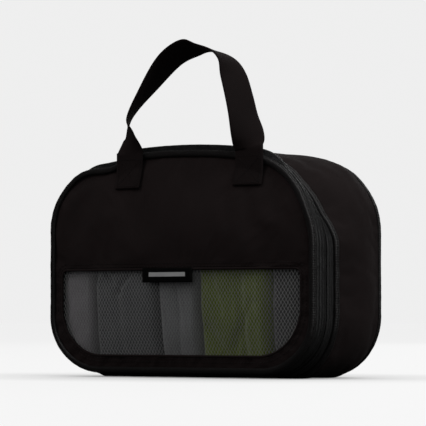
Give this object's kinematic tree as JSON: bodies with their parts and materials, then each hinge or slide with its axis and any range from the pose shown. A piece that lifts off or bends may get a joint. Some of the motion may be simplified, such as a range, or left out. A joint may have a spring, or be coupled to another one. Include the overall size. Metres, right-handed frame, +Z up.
{
  "type": "packing cube",
  "caption": "Small soft packing cube with a mesh window in its hinged front cover, a two-way zip and a webbing handle, holding folded clothes.",
  "frame": {"origin": "on the floor, in the middle of the case's flat foot", "axes": "+X to the right seen from the front, +Y from the front cover to the back panel, +Z up"},
  "size_m": [0.2573, 0.1105, 0.2593],
  "materials": {
    "shell_fabric": "near-black matt woven nylon, lightly padded",
    "binding_fabric": "dark grey ribbed grosgrain binding, slight sheen",
    "zip_tape": "black herringbone zip tape",
    "zip_coil": "black nylon coil, satin",
    "mesh_fabric": "grey open polyester net",
    "webbing": "black ribbed webbing",
    "label_cloth": "black damask-woven label with a plain pale bar",
    "slider_metal": "black enamelled zinc, satin",
    "pull_rubber": "dark grey moulded rubber, matt",
    "knit_light_grey": "light grey cotton knit, soft and matt",
    "knit_charcoal": "charcoal cotton knit, soft and matt",
    "knit_mid_grey": "mid grey cotton knit, soft and matt",
    "knit_olive": "olive cotton knit, soft and matt",
    "knit_dark_grey": "dark grey cotton knit, soft and matt"
  },
  "bodies": {
    "case": {"gusset": "shell_fabric", "back_panel": "shell_fabric", "gusset_front_binding": "binding_fabric", "back_binding": "binding_fabric", "zip_tape_rear": "zip_tape", "zip_coil_rear": "zip_coil", "hinge_strip_rear": "zip_tape", "folded_shirt_light_grey": "knit_light_grey", "folded_shirt_charcoal": "knit_charcoal", "folded_shirt_mid_grey": "knit_mid_grey", "folded_shirt_olive": "knit_olive", "folded_shirt_dark_grey": "knit_dark_grey"},
    "cover": {"front_panel": "shell_fabric", "front_binding": "binding_fabric", "window_net": "mesh_fabric", "window_inner_tape": "zip_tape", "woven_label": "label_cloth", "zip_tape_front": "zip_tape", "zip_coil_front": "zip_coil", "hinge_strip_front": "zip_tape", "handle_end_left": "webbing", "handle_end_right": "webbing"},
    "handle": {"handle_loop": "webbing"},
    "upper_slider": {"slider_upper": "slider_metal"},
    "lower_slider": {"slider_lower": "slider_metal"},
    "upper_pull": {"pull_link_upper": "slider_metal", "pull_tab_upper": "pull_rubber"},
    "lower_pull": {"pull_link_lower": "slider_metal", "pull_tab_lower": "pull_rubber"}
  },
  "joints": [
    {"name": "cover_hinge", "type": "hinge", "parent": "case", "child": "cover", "pos_m": [0, -0.031, 0.001], "axis": [1, 0, 0], "range_deg": [0, 180]},
    {"name": "handle_fold", "type": "hinge", "parent": "cover", "child": "handle", "pos_m": [0, -0.0434, 0.1722], "axis": [1, 0, 0], "range_deg": [-20, 125]},
    {"name": "upper_slider_travel", "type": "slide", "parent": "case", "child": "upper_slider", "axis": [0, 0, 1], "range_m": [0, 0.0165]},
    {"name": "lower_slider_travel", "type": "slide", "parent": "case", "child": "lower_slider", "axis": [0, 0, -1], "range_m": [0, 0.019]},
    {"name": "upper_pull_swing", "type": "hinge", "parent": "upper_slider", "child": "upper_pull", "pos_m": [-0.12785, -0.03108, 0.097], "axis": [0, -1, 0], "range_deg": [0, 120]},
    {"name": "lower_pull_swing", "type": "hinge", "parent": "lower_slider", "child": "lower_pull", "pos_m": [-0.12785, -0.03108, 0.0845], "axis": [0, 1, 0], "range_deg": [0, 120]}
  ]
}
